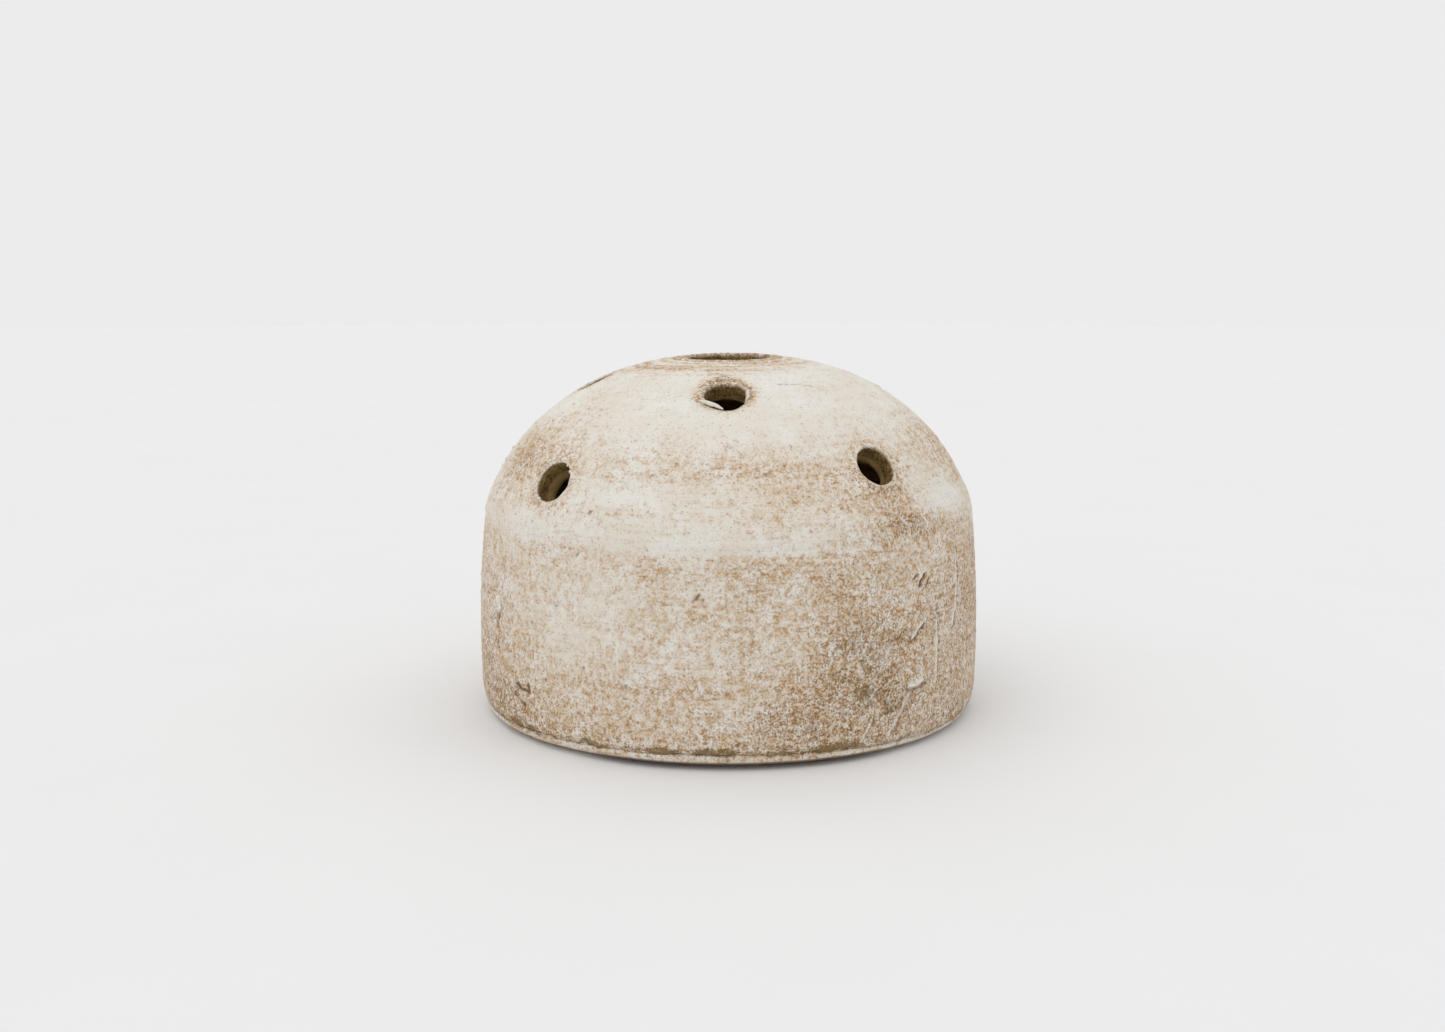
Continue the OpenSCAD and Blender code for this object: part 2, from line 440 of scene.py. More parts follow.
def wash_amount(points):
    """How much brown shows through the rubbed slip, 0 to 1. By height it also paints shade on the
    wall, below the brighter dome.
    """
    z = points[:, 2]
    radius = axis_distance(points)
    wavy = z + 0.9 * fractal_noise(points, 7, 72, 2)
    wash_and_shade_by_height = np.interp(wavy, WASH_HEIGHTS, WASH_AND_SHADE_BY_HEIGHT)
    broken = 0.6 + 0.7 * lattice_noise(points, 5, 74)
    turned = np.column_stack([radius, points[:, 0] / 9, points[:, 1] / 9])
    lines = lattice_noise(turned, 1.1, 75)
    rings = 0.50 - 0.28 * crown_rings(points) * broken + 0.35 * lines
    zone = smoothstep(*CROWN_WASH_R, axis_distance(points - CROWN_WASH_CENTRE))
    crown = rings * zone * (z > DOME_BOTTOM_Z)
    mottled = 0.12 * fractal_noise(points, 13, 70, 3)
    rims = np.zeros(len(points))
    for hole in HOLES:
        away = np.maximum(hole.axis_distance(points) - hole.radius - 0.8, 0)
        rims = np.maximum(rims, hole.halo * bell(away, 2.1))
    strip = 0.12 * smoothstep(0.2, -0.6, z - seam_height(points))
    total = wash_and_shade_by_height + crown + mottled + patch_sum(points, WASH_PATCHES) + rims - strip
    return np.clip(total, 0, 1)


def stain_amount(points):
    """How much olive stain lies in the hollows, 0 to 1."""
    broken = 0.7 + 0.7 * fractal_noise(points, 2.4, 80, 2)
    above_seam = points[:, 2] - seam_height(points) - 0.7
    front = smoothstep(62, 40, np.abs(azimuth_deg(points) + 22))
    groove = (0.55 + 0.35 * front) * bell(above_seam, 0.95)
    return np.clip((patch_sum(points, STAINS) + groove) * broken, 0, 1)


# === Holes punched through the dome ===


class Hole:
    """One hole, from its bore mount in the record, with the wear of its mouth."""

    # The mouth's rounding, flare, pale rim, brown halo and unevenness, then how far the punch
    # pushed clay into the chamber, and how far the slip runs in
    WEAR = dict(edge=0.55, flare=0.1, rim=0.26, halo=0.3, wobble=0.14, collar=2.2, slip_end=0.75)

    def __init__(self, mount, **wear):
        for name, value in {**self.WEAR, **wear}.items():
            setattr(self, name, value)
        self.centre = np.array(mount["pos_m"]) / MM
        self.axis = np.array(mount["axis"])
        self.radius = mount["dims"]["r_mm"]
        self.length = mount["dims"]["length_mm"]
        side = np.cross([0, 0, 1], self.axis)
        if np.linalg.norm(side) < 1e-6:
            side = np.array([1.0, 0, 0])
        self.right = side / np.linalg.norm(side)
        self.up = np.cross(self.axis, self.right)

    def local(self, points):
        """Coordinates across, up the slope, and out along the axis."""
        away = points - self.centre
        return away @ self.right, away @ self.up, away @ self.axis

    def axis_distance(self, points):
        across, up, _ = self.local(points)
        return np.hypot(across, up)

    def wall_distance(self, points):
        """Signed distance to the hole's wall, positive inside the clay."""
        across, up, out = self.local(points)
        mouth = out - self.length / 2
        flare = self.flare * smoothstep(-2.2, 0.6, mouth)
        seed = 90 + int(abs(self.centre[0] * 7 + self.centre[1] * 3))
        wobble = self.wobble * lattice_noise(points, (3.5, 3.5, 5), seed)
        torn = (0.05 + 0.3 * self.wobble) * lattice_noise(points, 1.2, seed + 1)
        inside = smoothstep(0.0, -1.2, mouth)
        return np.hypot(across, up) - self.radius - flare - wobble - torn * inside

    def blend(self, points):
        """Width of the rounding of the hole's edge, much wider at its inner end."""
        _, _, out = self.local(points)
        return self.edge + 1.2 * smoothstep(-0.5, -3.0, out)

    def rim_share(self, points):
        """Where the punch left a thin pale ridge round the mouth, 0 to 1."""
        across, up, _ = self.local(points)
        away = np.hypot(across, up) - self.radius - self.flare - 0.42
        broken = np.clip(0.6 + 0.9 * lattice_noise(points, 2.2, 97), 0, 1)
        return broken * bell(away, 0.36)


class WornHole(Hole):
    """The front hole, whose mouth is worn into a funnel above and to the left, and down below."""

    FUNNEL_DEPTH = 1.5

    def wall_distance(self, points):
        across, up, out = self.local(points)
        mouth = out - self.length / 2
        angle = np.arctan2(up, across)
        uphill = np.clip(np.cos(angle - math.radians(108)), 0, 1) ** 1.5
        funnel = 2.4 * uphill * smoothstep(-self.FUNNEL_DEPTH, 0.7, mouth)
        downhill = np.clip(np.cos(angle + math.radians(85)), 0, 1) ** 2
        worn = 1.3 * downhill * smoothstep(-4.0, -0.5, mouth)
        return super().wall_distance(points) - funnel - worn


# How some holes differ from the plain ones
WORN_HOLE = "upper_stem_hole_front"
HOLE_WEAR = {
    "top_opening": dict(edge=1.0, flare=0.2, rim=0.0, halo=0.8, wobble=0.25, slip_end=0.9),
    WORN_HOLE: dict(edge=0.7, flare=0.3, rim=0.2, halo=0.9, wobble=0.5, collar=0.9, slip_end=1.0),
    "lower_stem_hole_front_left": dict(collar=3.4),
    "upper_stem_hole_left": dict(edge=0.7, flare=0.5, rim=0.1, halo=0.6, wobble=0.2),
}


def make_hole(name, mount):
    kind = WornHole if name == WORN_HOLE else Hole
    return kind(mount, **HOLE_WEAR.get(name, {}))


HOLES = [make_hole(name, mount) for name, mount in MOUNTS.items() if mount["kind"] == "bore"]

# === Meshes ===


def link(name, data):
    """Object with its data, put into the scene."""
    thing = bpy.data.objects.new(name, data)
    bpy.context.scene.collection.objects.link(thing)
    return thing


def make_object(name, points, faces):
    """Mesh object from points in millimetres."""
    mesh = bpy.data.meshes.new(name)
    mesh.from_pydata((points * MM).tolist(), [], faces)
    mesh.update()
    mesh.shade_smooth()
    return link(name, mesh)


def mesh_points(piece):
    """A mesh's points, in millimetres."""
    flat = np.empty(len(piece.data.vertices) * 3)
    piece.data.vertices.foreach_get("co", flat)
    return flat.reshape(-1, 3) / MM


def paint(piece, name, values):
    """Stores numbers at the points, or one for all, for the material to read."""
    layer = piece.data.attributes.new(name, "FLOAT", "POINT")
    layer.data.foreach_set("value", np.broadcast_to(values, len(layer.data)).astype(np.float32))


def paint_clay(piece, bare, pale=0.0, inside=0.0):
    """Stores what the clay material reads: bare clay, thick pale slip, and the chamber's inside."""
    points = mesh_points(piece)
    _, torn, dark_share = marks_at(points)
    # Painted shadow: a dark line low on the foot across the front, where the pot meets the floor
    front = smoothstep(38, 24, np.abs(azimuth_deg(points) - 3))
    shade = 0.9 * (smoothstep(2.3, 1.7, points[:, 2]) * front)
    paint(piece, "wash", wash_amount(points))
    paint(piece, "stain", stain_amount(points))
    paint(piece, "rubbed", np.clip(patch_sum(points, RUBBED_PATCHES), 0, 1))
    paint(piece, "bare", bare)
    paint(piece, "inside", inside)
    paint(piece, "pale", np.clip(torn + pale, 0, 1))
    paint(piece, "dark", np.clip(dark_share + shade, 0, 1))


def sweep(name, radius, height, azimuths):
    """Closed ring from a loop of section points. radius and height are [azimuth, section]."""
    count, section = radius.shape
    angle = azimuths[:, None]
    points = np.stack([radius * np.sin(angle), -radius * np.cos(angle), height], axis=-1)
    index = np.arange(count * section).reshape(count, section)
    across = np.roll(index, -1, axis=0)
    faces = np.stack([index, across, np.roll(across, -1, axis=1), np.roll(index, -1, axis=1)], axis=-1)
    return make_object(name, points.reshape(-1, 3), faces.reshape(-1, 4).tolist())


# Points round the wall, the foot and the coil, and how far they gather in front
WALL_STEPS = 1000
FOOT_STEPS = 720
COIL_STEPS = 240
FRONT_GATHER = 0.42


def spread_azimuths(count, gather=FRONT_GATHER):
    """Angles all the way round, closer together at the front by the share gather."""
    turn = np.linspace(-math.pi, math.pi, count, endpoint=False)
    return turn - gather * np.sin(turn)


def unit_ring(azimuths):
    """Points of a circle of radius 1 at the foot."""
    return np.stack([np.sin(azimuths), -np.cos(azimuths), np.zeros_like(azimuths)], axis=1)


def push_out(points, amount):
    """Points moved straight out from the axis."""
    radius = np.maximum(axis_distance(points), 1e-6)
    moved = points.copy()
    moved[:, :2] *= (1 + amount / radius)[:, None]
    return moved


def set_points(piece, points):
    piece.data.vertices.foreach_set("co", (points * MM).astype(np.float32).ravel())
    piece.data.update()


# --- dome ---

VOXEL = 0.48

# Times that the dome's points are moved to its exact surface
SETTLE_STEPS = 4

# How far from a hole's edge the clay that the punch pushed in reaches
COLLAR_WIDTH = 2.2

# Beyond this distance from its wall, a hole has no effect on the dome's shape
HOLE_REACH = 7.5


def shell_distance(points, radius, rise):
    """Signed distance to a dome curve, negative inside."""
    r = axis_distance(points)
    up = np.maximum(points[:, 2] - DOME_BOTTOM_Z, 0)
    value = (r / radius) ** SIDE_POWER + (up / rise) ** TOP_POWER - 1
    slope_r = SIDE_POWER * (np.maximum(r, 1) / radius) ** (SIDE_POWER - 1) / radius
    slope_z = TOP_POWER * (up / rise) ** (TOP_POWER - 1) / rise
    return value / np.hypot(slope_r, slope_z)


def unslumped(points):
    """Where points would be before the crown sank at the front and the dome leaned over."""
    front = 0.3 + 0.35 * (1 + np.cos(np.radians(azimuth_deg(points))))
    moved = points.copy()
    moved[:, 0] -= DOME_LEAN * smoothstep(58, 78, points[:, 2])
    moved[:, 2] += CROWN_SAG * front * smoothstep(28, 10, axis_distance(points))
    return moved


def outer_distance(points):
    """Signed distance to the dome's smooth outer form."""
    inset = SKIN_INSET
    return shell_distance(unslumped(points), DOME_R - inset, DOME_RISE - inset)


def dome_distance(points):
    """Signed distance to the dome's clay, negative inside it."""
    skin = outer_distance(points)
    inside = shell_distance(points, DOME_R - DOME_THICKNESS, DOME_RISE - DOME_THICKNESS)
    for hole in HOLES:
        near = within(points, hole.centre, hole.radius + HOLE_REACH)
        away = np.maximum(hole.axis_distance(points[near]) - hole.radius, 0)
        inside[near] += hole.collar * bell(away, COLLAR_WIDTH)
    solid = np.maximum(skin, -inside)
    for hole in HOLES:
        near = within(points, hole.centre, hole.radius + HOLE_REACH)
        punched = -hole.wall_distance(points[near])
        solid[near] = smooth_max(solid[near], punched, hole.blend(points[near]))
    return np.maximum(solid, DOME_BOTTOM_Z - points[:, 2])


def distance_slope(points, step=0.05):
    """Unit gradient of the dome's distance field."""
    shifts = step * np.eye(3)
    slope = [dome_distance(points + shift) - dome_distance(points - shift) for shift in shifts]
    slope = np.stack(slope, axis=1)
    return slope / np.maximum(np.linalg.norm(slope, axis=1), 1e-9)[:, None]


def dome_grid():
    """Quads round the dome's distance field, and their points in millimetres."""
    margin = 4 * VOXEL
    side = DOME_R + margin
    low = np.array([-side, -side, DOME_BOTTOM_Z - margin])
    high = np.array([side, side, TOP_Z + margin])
    counts = np.ceil((high - low) / VOXEL).astype(int)
    axes = [low[i] + VOXEL * np.arange(counts[i]) for i in range(3)]
    field = np.empty(counts, np.float32)
    for layer, x in enumerate(axes[0]):
        y, z = np.meshgrid(axes[1], axes[2], indexing="ij")
        slab = np.stack([np.full(y.size, x), y.ravel(), z.ravel()], axis=1)
        field[layer] = dome_distance(slab).reshape(y.shape)
    band = 3.0
    grid = openvdb.FloatGrid(band)
    grid.copyFromArray(np.clip(field / VOXEL, -band, band))
    points, quads = grid.convertToQuads(isovalue=0.0)
    return low + points.astype(float) * VOXEL, quads


def hole_rims(points, strength):
    """The pale ridges round all the mouths, times a strength."""
    return sum(strength * hole.rim * hole.rim_share(points) for hole in HOLES)


def build_dome():
    """The dome, settled on its exact surface and then given its relief."""
    points, quads = dome_grid()
    for _ in range(SETTLE_STEPS):
        points = points - dome_distance(points)[:, None] * distance_slope(points)
    depth = -outer_distance(points)
    outside = smoothstep(1.3, 0.3, depth)
    height = outside * (relief(points) + hole_rims(points, 1.0))
    inside = smoothstep(DOME_THICKNESS - 1.0, DOME_THICKNESS - 0.4, depth)
    height += 0.15 * inside * lattice_noise(points, (30, 30, 3), 77)
    above = smoothstep(DOME_BOTTOM_Z, DOME_BOTTOM_Z + 0.3, points[:, 2])
    points = points + (height * above)[:, None] * distance_slope(points)
    points[:, 2] = np.minimum(points[:, 2], TOP_Z)
    piece = make_object("dome_clay", points, quads[:, ::-1].tolist())
    slip_end = np.full(len(points), Hole.WEAR["slip_end"])
    for hole in HOLES:
        close = smoothstep(hole.radius + 4.5, hole.radius + 3.0, hole.axis_distance(points))
        slip_end += (hole.slip_end - Hole.WEAR["slip_end"]) * close
    bare = smoothstep(0.25, slip_end, depth)
    paint_clay(piece, bare, outside * hole_rims(points, 2.2), inside)
    return piece


# --- wall, floor and joints ---

# The wall and the slab each stop this far short of the seam between them
SEAM_GAP = 0.1

# Section points up the outside of the wall, and up the edge of the slab
WALL_ROWS = 150
SLAB_ROWS = 30


def foot_r(z):
    """Outer radius of slab and wall, with the rounded foot."""
    foot = np.interp(z, FOOT_PROFILE_Z, FOOT_PROFILE_R)
    return np.where(z < FOOT_PROFILE_Z[-1], foot, wall_r(z)) - SKIN_INSET


def groove(points):
    """Depth of the uneven groove at the seam between slab and wall."""
    uneven = 0.42 + 0.3 * fractal_noise(points * (1, 1, 0), 3.0, 46, 2)
    away = points[:, 2] - seam_height(points)
    return np.clip(uneven, 0.1, 1) * bell(away, 0.55)


def seam_ring(azimuths):
    """Height of the seam at each azimuth, as a column."""
    return seam_height(unit_ring(azimuths) * BELLY_R)[:, None]


def build_wall():
    """The wall, swept from a section that starts at the seam and runs up the outside."""
    azimuths = spread_azimuths(WALL_STEPS)
    seam = seam_ring(azimuths) + SEAM_GAP
    outer_z = seam + (WALL_TOP_Z - seam) * np.linspace(0, 1, WALL_ROWS)[None, :]
    face_r = foot_r(outer_z)
    across = np.linspace(0, 1, 10)[None, 1:-1]
    top_r = face_r[:, -1:] + (WALL_INNER_R - face_r[:, -1:]) * across
    top_z = np.full_like(top_r, WALL_TOP_Z)
    inner_z = np.tile(np.linspace(WALL_TOP_Z, WALL_BOTTOM_Z, 20), (len(azimuths), 1))
    inner_r = np.full_like(inner_z, WALL_INNER_R)
    bottom_r = WALL_INNER_R + (face_r[:, :1] - WALL_INNER_R) * across
    bottom_z = WALL_BOTTOM_Z + (seam - WALL_BOTTOM_Z) * across
    radius = np.concatenate([face_r, top_r, inner_r, bottom_r], axis=1)
    height = np.concatenate([outer_z, top_z, inner_z, bottom_z], axis=1)
    piece = sweep("wall_ring_clay", radius, height, azimuths)
    points = mesh_points(piece)
    outside = np.tile(np.arange(radius.shape[1]) < WALL_ROWS, len(azimuths))
    set_points(piece, push_out(points, np.where(outside, relief(points) - groove(points), 0)))
    paint_clay(piece, np.where(outside, 0.0, 1.0), inside=1.0)
    return piece


def build_slab():
    """The floor slab: a disc with a bevelled foot and a slightly uneven edge."""
    azimuths = spread_azimuths(FOOT_STEPS)
    seam = seam_ring(azimuths) - SEAM_GAP
    rim_z = seam * np.linspace(0, 1, SLAB_ROWS)[None, :]
    rim_r = foot_r(rim_z)
    middle_r = 0.4
    under_r = np.tile(np.linspace(middle_r, FOOT_R - SKIN_INSET, 44)[:-1], (len(azimuths), 1))
    over = np.linspace(1, 0, 44)[None, 1:]
    over_r = middle_r + (rim_r[:, -1:] - middle_r) * over
    over_z = SLAB_TOP_Z + (seam - SLAB_TOP_Z) * smoothstep(0.9, 1.0, over)
    radius = np.concatenate([under_r, rim_r, over_r], axis=1)
    height = np.concatenate([np.zeros_like(under_r), rim_z, over_z], axis=1)
    piece = sweep("floor_slab_clay", radius, height, azimuths)
    points = mesh_points(piece)
    column = np.tile(np.arange(radius.shape[1]), len(azimuths))
    first_rim = under_r.shape[1]
    last_rim = first_rim + rim_r.shape[1]
    on_rim = (column >= first_rim) & (column < last_rim)
    uneven = 0.16 * fractal_noise(points, (7, 7, 2.4), 31, 3) - groove(points)
    moved = push_out(points, np.where(on_rim, uneven * smoothstep(0, 1.2, points[:, 2]), 0))
    under = column < first_rim - 3
    moved[:, 2] += np.where(under, 0.12 * (1 + lattice_noise(points, 6, 33)), 0)
    set_points(piece, moved)
    paint_clay(piece, np.where(on_rim, 0.0, 1.0), inside=1.0)
    return piece


def build_floor_slip():
    """Slip squeezed out of the floor joint, at the bottom of the groove."""
    azimuths = spread_azimuths(FOOT_STEPS)
    half_height = (FLOOR_SLIP_TOP_Z - FLOOR_SLIP_BOTTOM_Z) * 0.5
    turn = np.linspace(0, 2 * math.pi, 12, endpoint=False)
    swell = 0.2 * fractal_noise(unit_ring(azimuths) * FLOOR_SLIP_R, 3.2, 35, 2)[:, None]
    seam = seam_ring(azimuths)
    radius = foot_r(seam) - 1.7 + (1.25 + swell) * np.cos(turn)
    height = seam + half_height * np.tile(np.sin(turn), (len(azimuths), 1))
    piece = sweep("floor_joint_slip_bead", radius, height, azimuths)
    paint_clay(piece, bare=0.0)
    return piece


def build_shoulder_slip():
    """The smeared band of slip over the shoulder joint: a shallow lens that fades into the clay."""
    azimuths = spread_azimuths(WALL_STEPS)
    place = unit_ring(azimuths) * DOME_R
    half_height = 2.0 + 0.5 * fractal_noise(place, 11, 37, 3)[:, None]
    middle = SHOULDER_Z + 0.3 * fractal_noise(place, 30, 38, 2)[:, None]
    proud = 0.16 + 0.06 * fractal_noise(place, 9, 39, 2)[:, None]
    share = np.linspace(-1, 1, 21)[None, :]
    outer_z = middle + half_height * share
    edge_depth = 0.05
    bulge = (proud + edge_depth) * (1 - share**2) ** 2 - edge_depth
    face_r = outer_r(outer_z) - SKIN_INSET + bulge
    radius = np.concatenate([face_r, face_r[:, ::-1] - 0.9], axis=1)
    height = np.concatenate([outer_z, outer_z[:, ::-1]], axis=1)
    piece = sweep("shoulder_joint_slip_band", radius, height, azimuths)
    points = mesh_points(piece)
    set_points(piece, push_out(points, relief(points)))
    paint_clay(piece, bare=0.0)
    return piece


def build_coil():
    """The coil pressed into the inside corner, with thumb marks along it."""
    azimuths = spread_azimuths(COIL_STEPS, gather=0.0)
    leg = COIL_TOP_Z - SLAB_TOP_Z
    turn = np.linspace(0, math.pi / 2, 10)
    face_r = WALL_INNER_R - leg + leg * np.sin(turn)
    face_z = SLAB_TOP_Z + leg - leg * np.cos(turn)
    thumb_count = 34
    thumbs = 0.35 * np.sin(azimuths * thumb_count)[:, None] * np.sin(np.append(turn, 0) * 2)[None, :]
    radius = np.tile(np.append(face_r, WALL_INNER_R), (len(azimuths), 1)) + thumbs
    height = np.tile(np.append(face_z, SLAB_TOP_Z), (len(azimuths), 1))
    piece = sweep("corner_coil_clay", radius, height, azimuths)
    paint_clay(piece, bare=1.0, inside=1.0)
    return piece


# --- burr and crumbs ---


def tube(name, line, radii, sides=10):
    """Closed tube along a line, with round ends where its radii are small."""
    steps = np.gradient(line, axis=0)
    steps /= np.linalg.norm(steps, axis=1)[:, None]
    side = np.cross(steps, [0.0, 0.0, 1.0])
    side /= np.linalg.norm(side, axis=1)[:, None]
    up = np.cross(side, steps)
    turn = np.linspace(0, 2 * math.pi, sides, endpoint=False)
    spokes = side[:, None] * np.cos(turn)[None, :, None] + up[:, None] * np.sin(turn)[None, :, None]
    points = (line[:, None] + radii[:, None, None] * spokes).reshape(-1, 3)
    faces = [list(range(sides - 1, -1, -1)), list(range(len(points) - sides, len(points)))]
    for row in range(len(line) - 1):
        for step in range(sides):
            after = (step + 1) % sides
            low = row * sides
            high = low + sides
            faces.append([low + step, low + after, high + after, high + step])
    return make_object(name, points, faces)


# The burr's course over the hole's mouth: across, up, out, half-thickness
BURR = [
    (-6.1, -2.7, 0.0, 0.20),
    (-5.3, -3.4, 0.3, 0.44),
    (-4.3, -4.3, 0.5, 0.54),
    (-3.1, -5.0, 0.5, 0.48),
    (-1.7, -5.7, 0.3, 0.34),
    (-0.5, -6.3, 0.0, 0.12),
]


def build_burr():
    """The curl of clay that the punch left across the lower left of the front hole."""
    hole = next(h for h in HOLES if isinstance(h, WornHole))
    fine = np.linspace(0, len(BURR) - 1, 40)
    burr = np.array(BURR)
    *along, widths = (np.interp(fine, range(len(burr)), column) for column in burr.T)
    along = np.stack(along, axis=1)
    along[1:-1] = (along[:-2] + along[1:-1] + along[2:]) / 3
    mouth = hole.centre + hole.axis * (hole.length / 2 - 0.35)
    line = mouth + along[:, :1] * hole.right + along[:, 1:2] * hole.up + along[:, 2:] * hole.axis
    radii = widths * (1 + 0.25 * lattice_noise(line, 1.1, 48))
    piece = tube("front_hole_burr", line, radii)
    points = mesh_points(piece)
    set_points(piece, points + 0.12 * lattice_noise(points, 0.8, 49)[:, None] * hole.axis)
    paint_clay(piece, bare=0.0, pale=0.9)
    return piece


def ball(rings=4, sides=6):
    """Points and faces of a coarse unit ball."""
    points = [(0, 0, 1)]
    for row in range(1, rings):
        tilt = math.pi * row / rings
        for step in range(sides):
            turn = 2 * math.pi * (step + 0.5 * row) / sides
            across = math.sin(tilt)
            points.append((across * math.cos(turn), across * math.sin(turn), math.cos(tilt)))
    points.append((0, 0, -1))
    last = len(points) - 1
    faces = []
    for step in range(sides):
        after = (step + 1) % sides
        faces.append([0, 1 + step, 1 + after])
        faces.append([last, last - sides + after, last - sides + step])
        for row in range(rings - 2):
            low = 1 + row * sides
            faces.append([low + step, low + sides + step, low + sides + after, low + after])
    return np.array(points, float), faces


GRAIN_SEED = 7
GRAIN_TRIES = 5200

# No crumb comes closer than this to the CAD box
CRUMB_CLEARANCE = 0.05


def build_crumbs():
    """Crumbs of dried slip: the listed ones, and a seeded scatter of fine grains."""
    random = np.random.default_rng(GRAIN_SEED)
    grains = list(CRUMBS)
    tries = np.stack([random.uniform(*span, GRAIN_TRIES) for span in ((-180, 180), (6, 80))], axis=1)
    places = np.array([mark_point(azimuth, z) for azimuth, z in tries])
    wanted = wash_amount(places) ** 2 > random.uniform(0, 1, len(places))
    for hole in HOLES:
        wanted &= hole.axis_distance(places) > hole.radius + 1.5
    sizes = random.uniform(0.2, 0.42, len(places))
    grains.extend((azimuth, z, size) for (azimuth, z), size in zip(tries[wanted], sizes[wanted]))
    shape, shape_faces = ball()
    points = []
    faces = []
    for azimuth, z, size in grains:
        place = mark_point(azimuth, z)
        stretch = random.uniform(0.6, 1.3, 3)
        rough = random.uniform(0.8, 1.15, len(shape))[:, None]
        first = len(points) * len(shape)
        points.append(place + shape * rough * stretch * size)
        faces.extend([first + corner for corner in face] for face in shape_faces)
    points = np.concatenate(points)
    centres = np.repeat([mark_point(azimuth, z) for azimuth, z, _ in grains], len(shape), axis=0)
    sunk = [0.15 * size if i < len(CRUMBS) else 0.55 * size for i, (_, _, size) in enumerate(grains)]
    moved = push_out(points, relief(centres) - SKIN_INSET - np.repeat(sunk, len(shape)))
    past = np.maximum(axis_distance(moved) - BELLY_R + CRUMB_CLEARANCE, 0)
    piece = make_object("slip_crumbs", push_out(moved, -past), faces)
    whiteness = [1.0 if i < len(CRUMBS) else 0.6 for i in range(len(grains))]
    paint_clay(piece, bare=0.0, pale=np.repeat(whiteness, len(shape)))
    return piece


# === Materials ===


def srgb(red, green, blue):
    """Linear colour from 0-255 display values."""
    def linear(value):
        share = value / 255
        return share / 12.92 if share <= 0.04045 else ((share + 0.055) / 1.055) ** 2.4

    return (linear(red), linear(green), linear(blue), 1.0)


CREAM = srgb(233, 230, 223)
WARM_CREAM = srgb(229, 222, 210)
# Tan veil of the wash, which on the wall is also painted shade
VEIL_AND_SHADE = srgb(206, 177, 140)
LIGHT_FLECK = srgb(194, 148, 102)
DARK_FLECK = srgb(140, 97, 48)
SPOT_BROWN = srgb(150, 102, 54)
OLIVE = srgb(124, 98, 52)
BARE_CLAY = srgb(146, 120, 72)
BARE_DARK = srgb(84, 65, 32)
GRIT = srgb(146, 112, 76)
# Bare clay of the chamber's inside, painted lighter than the bores' clay as painted light bounced
# round inside
CHAMBER_CLAY_WITH_PAINTED_LIGHT = srgb(176, 148, 100)
WHITE_SLIP = srgb(240, 236, 226)
# Brown of gouge cores, also used for painted shadow beside scratches and along the foot
GOUGE_AND_SHADOW_BROWN = srgb(106, 70, 30)
FLOOR_GREY = srgb(230, 230, 230)
FLOOR_LIGHT_GREY = srgb(231, 231, 231)
SKY_GREY = srgb(236, 236, 236)


class Shader:
    """Short spelling for the nodes of one material."""

    def __init__(self, name):
        self.material = bpy.data.materials.new(name)
        self.material.use_nodes = True
        self.tree = self.material.node_tree
        self.tree.nodes.clear()
        self.surface = self.node("BsdfPrincipled", {})
        self.node("OutputMaterial", {"Surface": self.surface.outputs["BSDF"]})

    def fill(self, node, inputs):
        """Plugs sockets and values into a node's inputs, by name or number."""
        for name, value in inputs.items():
            if isinstance(value, bpy.types.NodeSocket):
                self.tree.links.new(value, node.inputs[name])
            else:
                node.inputs[name].default_value = value

    def node(self, kind, inputs, **settings):
        node = self.tree.nodes.new("ShaderNode" + kind)
        for name, value in settings.items():
            setattr(node, name, value)
        self.fill(node, inputs)
        return node

    def math(self, operation, *values):
        return self.node("Math", dict(enumerate(values)), operation=operation).outputs[0]

    def times(self, first, second):
        return self.math("MULTIPLY", first, second)

    def line(self, value, slope, start):
        """A value times a slope, plus a start."""
        return self.math("MULTIPLY_ADD", value, slope, start)

    def centred(self, noise):
        return self.math("SUBTRACT", noise, 0.5)

    def scaled(self, vector, factors):
        return self.node("VectorMath", {0: vector, 1: factors}, operation="MULTIPLY").outputs[0]

    def place(self):
        """Position on the pot, in millimetres."""
        return self.scaled(self.node("TexCoord", {}).outputs["Object"], (1 / MM,) * 3)

    def noise(self, vector, size, detail=3.0, roughness=0.55, distortion=0.0):
        """Noise from about 0 to 1 with features of a size in millimetres."""
        inputs = {"Vector": vector, "Scale": 1 / size, "Detail": detail}
        inputs.update({"Roughness": roughness, "Distortion": distortion})
        return self.node("TexNoise", inputs).outputs["Fac"]

    def cells(self, vector, size):
        """Distance to the nearest of scattered points, and that point's own random number."""
        node = self.node("TexVoronoi", {"Vector": vector, "Scale": 1 / size})
        split = self.node("SeparateColor", {0: node.outputs["Color"]})
        return node.outputs["Distance"], split.outputs[0]

    def ramp(self, value, low, high):
        """0 at low, 1 at high, smooth between."""
        inputs = {"Value": value, "From Min": low, "From Max": high}
        return self.node("MapRange", inputs, interpolation_type="SMOOTHSTEP").outputs["Result"]

    def mix(self, share, first, second):
        inputs = {"Factor": share, "A": first, "B": second}
        return self.node("Mix", inputs, data_type="RGBA").outputs["Result"]

    def painted(self, name):
        return self.node("Attribute", {}, attribute_name=name).outputs["Fac"]

    def bump(self, height, distance_mm):
        return self.node("Bump", {"Height": height, "Distance": distance_mm * MM}).outputs["Normal"]


